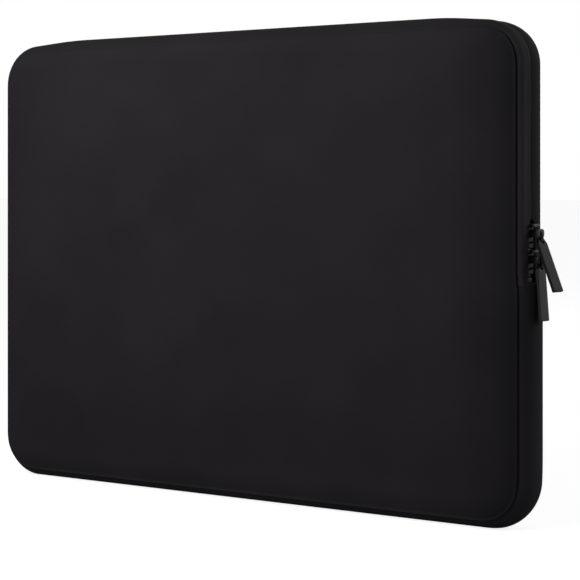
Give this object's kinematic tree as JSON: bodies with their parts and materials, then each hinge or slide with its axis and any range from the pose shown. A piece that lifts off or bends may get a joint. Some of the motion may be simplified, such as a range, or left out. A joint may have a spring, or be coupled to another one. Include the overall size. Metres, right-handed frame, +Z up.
{
  "type": "laptop sleeve",
  "caption": "Padded fabric laptop sleeve standing on its long edge, with a two-slider zip over the top and a front flap that folds down.",
  "frame": {"origin": "centre of the flat strip under the long bottom edge, where the sleeve stands; Y = 0 is the zip's middle plane", "axes": "+X along the long edge towards the parked sliders, +Y towards the back panel, +Z up"},
  "size_m": [0.3849, 0.034, 0.274],
  "materials": {
    "cover_knit": "matte knitted nylon over foam",
    "gusset_knit": "matte knitted nylon over foam",
    "foam_core": "closed-cell foam",
    "lining_knit": "brushed lining",
    "binding_tape": "woven binding",
    "zip_tape": "woven polyester tape",
    "zip_coil": "nylon coil",
    "slider_paint": "matte black enamel on zinc",
    "pull_paint": "matte dark grey enamel on zinc"
  },
  "bodies": {
    "root": {"lower_front_panel": "cover_knit", "lower_front_foam": "foam_core", "lower_front_lining": "lining_knit", "back_panel": "cover_knit", "back_foam": "foam_core", "back_lining": "lining_knit", "lower_gusset": "gusset_knit", "lower_gusset_lining": "lining_knit", "rear_zip_facing": "gusset_knit", "rear_zip_tape": "zip_tape", "rear_zip_coil": "zip_coil", "right_end_stop": "slider_paint", "left_end_stop": "slider_paint", "right_zip_end_tab": "binding_tape", "left_zip_end_tab": "binding_tape", "lower_front_binding": "binding_tape", "back_binding": "binding_tape"},
    "front_flap": {"flap_panel": "cover_knit", "flap_foam": "foam_core", "flap_lining": "lining_knit", "flap_binding": "binding_tape", "front_zip_facing": "gusset_knit", "front_zip_tape": "zip_tape", "front_zip_coil": "zip_coil"},
    "lower_slider": {"lower_slider": "slider_paint"},
    "upper_slider": {"upper_slider": "slider_paint"},
    "lower_pull": {"lower_pull": "pull_paint"},
    "upper_pull": {"upper_pull": "pull_paint"}
  },
  "joints": [
    {"name": "flap_fold", "type": "hinge", "parent": "root", "child": "front_flap", "pos_m": [0, -0.017, 0.131], "axis": [1, 0, 0], "range_deg": [0, 100]},
    {"name": "lower_slider_run", "type": "slide", "parent": "root", "child": "lower_slider", "axis": [0, 0, 1], "range_m": [0, 0.03]},
    {"name": "upper_slider_run", "type": "slide", "parent": "lower_slider", "child": "upper_slider", "axis": [0, 0, 1], "range_m": [0, 0.05]},
    {"name": "lower_pull_swing", "type": "hinge", "parent": "lower_slider", "child": "lower_pull", "pos_m": [0.1871, 0, 0.1412], "axis": [-0.0698, -0.9976, 0], "range_deg": [0, 20]},
    {"name": "upper_pull_swing", "type": "hinge", "parent": "upper_slider", "child": "upper_pull", "pos_m": [0.1871, 0, 0.155], "axis": [-0.1392, -0.9903, 0], "range_deg": [-3, 105]}
  ]
}
